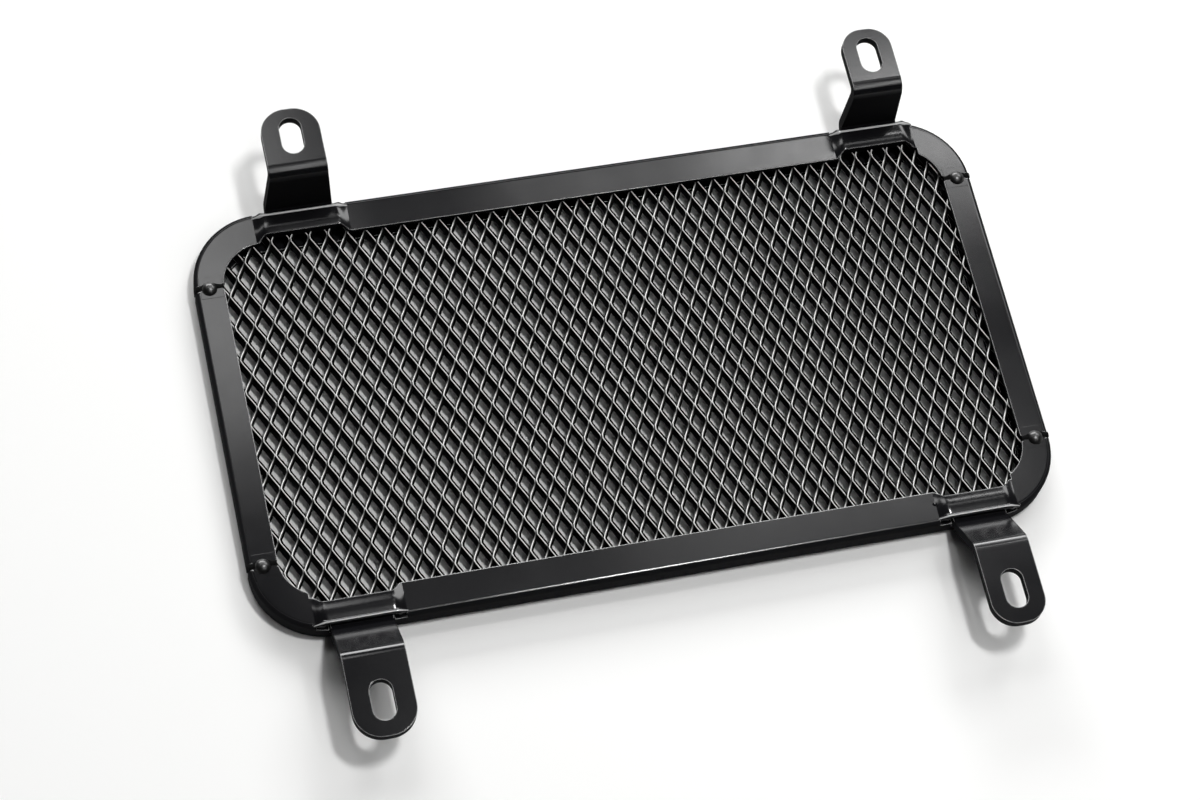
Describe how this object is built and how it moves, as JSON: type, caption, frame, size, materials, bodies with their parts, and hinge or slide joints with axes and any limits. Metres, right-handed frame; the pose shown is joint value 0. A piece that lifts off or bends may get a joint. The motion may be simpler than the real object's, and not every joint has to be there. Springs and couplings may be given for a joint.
{
  "type": "motorcycle radiator guard",
  "caption": "Black radiator guard: folded sheet frame round a raised diamond mesh, on bent slotted tabs.",
  "frame": {"origin": "on the plane of the back, under the middle of the whole outline", "axes": "+X across the width, to the right seen from the front; +Y towards the upper edge; +Z out of the front"},
  "size_m": [0.255, 0.2048, 0.029],
  "materials": {
    "frame_coat": "satin black powder coat on folded steel sheet",
    "mesh_coat": "black powder coat, glossier on the mesh strands",
    "weld_coat": "glossy black coat over a weld nugget"
  },
  "bodies": {
    "root": {"top_rail": "frame_coat", "bottom_rail": "frame_coat", "left_side_bar": "frame_coat", "right_side_bar": "frame_coat", "mesh_panel": "mesh_coat", "top_left_tab": "frame_coat", "top_right_tab": "frame_coat", "bottom_left_tab": "frame_coat", "bottom_right_tab": "frame_coat", "corner_welds": "weld_coat"}
  },
  "joints": []
}
